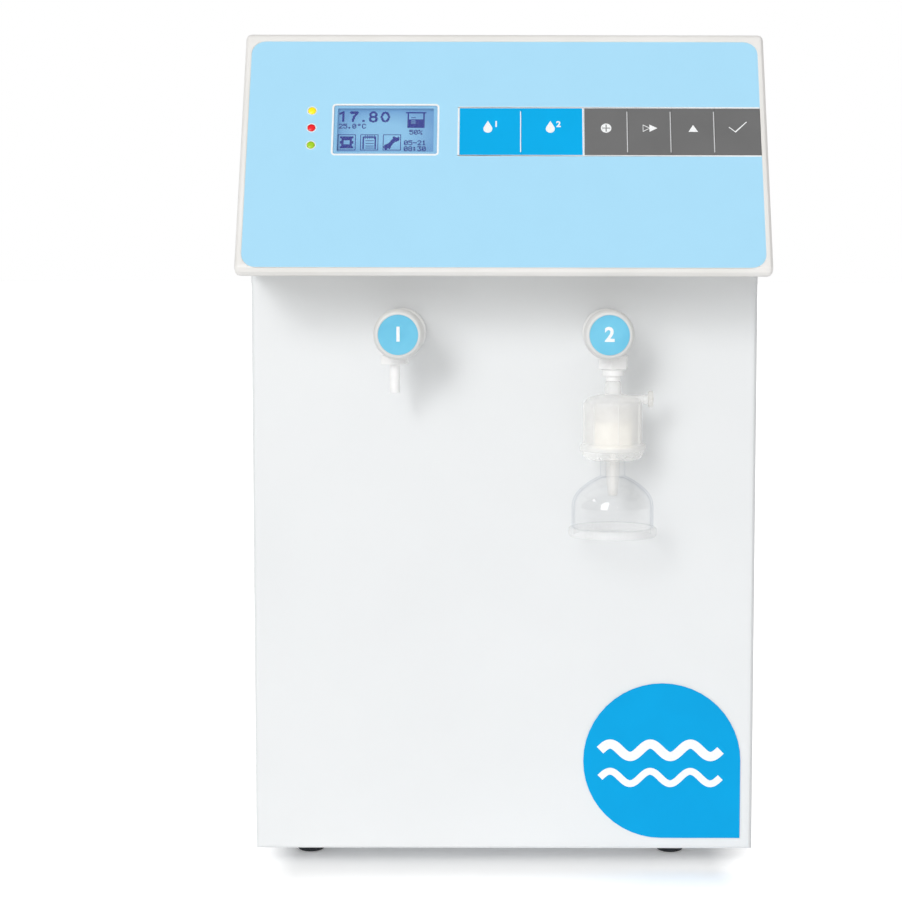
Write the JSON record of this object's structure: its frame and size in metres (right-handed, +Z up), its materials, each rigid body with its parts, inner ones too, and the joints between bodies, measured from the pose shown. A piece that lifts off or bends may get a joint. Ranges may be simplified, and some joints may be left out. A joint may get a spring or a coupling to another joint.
{
  "type": "deionized_water_purifier",
  "caption": "Bench deionized water purifier: white steel cabinet, sloped head with keys and display, two outlets, final filter with clear filling bell.",
  "frame": {"origin": "on the bench under the middle of the overall box", "axes": "+Z up, -Y towards the front, +X to the right as seen from the front"},
  "size_m": [0.333, 0.4975, 0.55],
  "materials": {
    "powder_coated_steel_white": "satin",
    "moulded_abs_white": "satin",
    "acetal_white": "satin",
    "printed_film_pale_blue": "satin",
    "printed_film_bright_blue": "satin",
    "printed_film_grey": "satin",
    "label_sky_blue": "gloss",
    "vinyl_blue": "satin",
    "clear_polycarbonate": "gloss",
    "natural_polypropylene": "satin",
    "black_rubber": "matte",
    "black_nylon": "matte",
    "zinc_plated_steel": "satin",
    "display_glass_blue": "gloss",
    "circuit_board_green": "satin",
    "lamp_yellow": "gloss",
    "lamp_red": "gloss",
    "lamp_green": "gloss",
    "pleated_membrane_cream": "matte",
    "black_rocker": "satin",
    "ion_exchange_cartridge_shell": "satin",
    "pretreatment_cartridge_shell": "satin",
    "glass_filled_nylon_grey": "matte",
    "aluminium_case": "satin",
    "valve_nylon_white": "satin",
    "polyethylene_tube_white": "satin"
  },
  "bodies": {
    "cabinet": {"badge": "vinyl_blue", "base_tray": "zinc_plated_steel", "cartridge_rack": "zinc_plated_steel", "control_board": "circuit_board_green", "control_overlay": "printed_film_pale_blue", "dispense_valve_1": "valve_nylon_white", "dispense_valve_2": "valve_nylon_white", "display_module": "display_glass_blue", "display_window": "clear_polycarbonate", "door_catch": "black_nylon", "drain_port": "acetal_white", "drain_tube": "polyethylene_tube_white", "feed_port": "acetal_white", "feed_tube": "polyethylene_tube_white", "filling_bell": "clear_polycarbonate", "filter_base": "natural_polypropylene", "filter_capsule": "natural_polypropylene", "filter_core": "pleated_membrane_cream", "foot_front_left": "black_rubber", "foot_front_right": "black_rubber", "foot_rear_left": "black_rubber", "foot_rear_right": "black_rubber", "front_panel": "powder_coated_steel_white", "head_shell": "moulded_abs_white", "ion_exchange_cartridge": "ion_exchange_cartridge_shell", "lamp_green": "lamp_green", "lamp_red": "lamp_red", "lamp_yellow": "lamp_yellow", "left_panel": "powder_coated_steel_white", "mains_inlet": "black_nylon", "membrane_housing": "moulded_abs_white", "outlet_body_1": "acetal_white", "outlet_body_2": "acetal_white", "outlet_nut_1": "acetal_white", "outlet_nut_2": "acetal_white", "outlet_spout_1": "acetal_white", "power_supply": "aluminium_case", "pretreatment_cartridge": "pretreatment_cartridge_shell", "product_tube": "polyethylene_tube_white", "pump_head": "glass_filled_nylon_grey", "pump_inlet_tube": "polyethylene_tube_white", "pump_motor": "black_nylon", "pump_outlet_tube": "polyethylene_tube_white", "pure_water_tube": "polyethylene_tube_white", "rear_panel": "powder_coated_steel_white", "top_cover": "powder_coated_steel_white"},
    "outlet_1_knob": {"outlet_knob_1": "moulded_abs_white", "knob_label_1": "label_sky_blue"},
    "outlet_2_knob": {"outlet_knob_2": "moulded_abs_white", "knob_label_2": "label_sky_blue"},
    "vent_cap": {"vent_cap": "natural_polypropylene"},
    "service_door": {"side_door": "powder_coated_steel_white", "door_pull": "black_nylon"},
    "power_rocker": {"power_rocker": "black_rocker"},
    "key_outlet_1": {"key_outlet_1": "printed_film_bright_blue"},
    "key_outlet_2": {"key_outlet_2": "printed_film_bright_blue"},
    "key_menu": {"key_menu": "printed_film_grey"},
    "key_shift": {"key_shift": "printed_film_grey"},
    "key_up": {"key_up": "printed_film_grey"},
    "key_enter": {"key_enter": "printed_film_grey"}
  },
  "joints": [
    {"name": "key_outlet_1_press", "type": "slide", "parent": "cabinet", "child": "key_outlet_1", "axis": [0, 0.8949, -0.4463], "range_m": [0, 0.0004], "stiffness_N_per_m": 1500},
    {"name": "key_outlet_2_press", "type": "slide", "parent": "cabinet", "child": "key_outlet_2", "axis": [0, 0.8949, -0.4463], "range_m": [0, 0.0004], "stiffness_N_per_m": 1500},
    {"name": "key_menu_press", "type": "slide", "parent": "cabinet", "child": "key_menu", "axis": [0, 0.8949, -0.4463], "range_m": [0, 0.0004], "stiffness_N_per_m": 1500},
    {"name": "key_shift_press", "type": "slide", "parent": "cabinet", "child": "key_shift", "axis": [0, 0.8949, -0.4463], "range_m": [0, 0.0004], "stiffness_N_per_m": 1500},
    {"name": "key_up_press", "type": "slide", "parent": "cabinet", "child": "key_up", "axis": [0, 0.8949, -0.4463], "range_m": [0, 0.0004], "stiffness_N_per_m": 1500},
    {"name": "key_enter_press", "type": "slide", "parent": "cabinet", "child": "key_enter", "axis": [0, 0.8949, -0.4463], "range_m": [0, 0.0004], "stiffness_N_per_m": 1500},
    {"name": "outlet_1_turn", "type": "hinge", "parent": "cabinet", "child": "outlet_1_knob", "pos_m": [-0.0664, -0.21575, 0.3587], "axis": [0, 1, 0], "range_deg": [0, 90]},
    {"name": "outlet_2_turn", "type": "hinge", "parent": "cabinet", "child": "outlet_2_knob", "pos_m": [0.0664, -0.21575, 0.3587], "axis": [0, 1, 0], "range_deg": [0, 90]},
    {"name": "vent_cap_turn", "type": "hinge", "parent": "cabinet", "child": "vent_cap", "pos_m": [0.0923, -0.20445, 0.317], "axis": [1, 0, 0], "range_deg": [0, 180]},
    {"name": "service_door_swing", "type": "hinge", "parent": "cabinet", "child": "service_door", "pos_m": [0.1625, 0.21065, 0.28], "axis": [0, 0, 1], "range_deg": [0, 100]},
    {"name": "power_rocker_tilt", "type": "hinge", "parent": "cabinet", "child": "power_rocker", "pos_m": [-0.1, 0.22835, 0.1245], "axis": [1, 0, 0], "range_deg": [0, 20]}
  ]
}
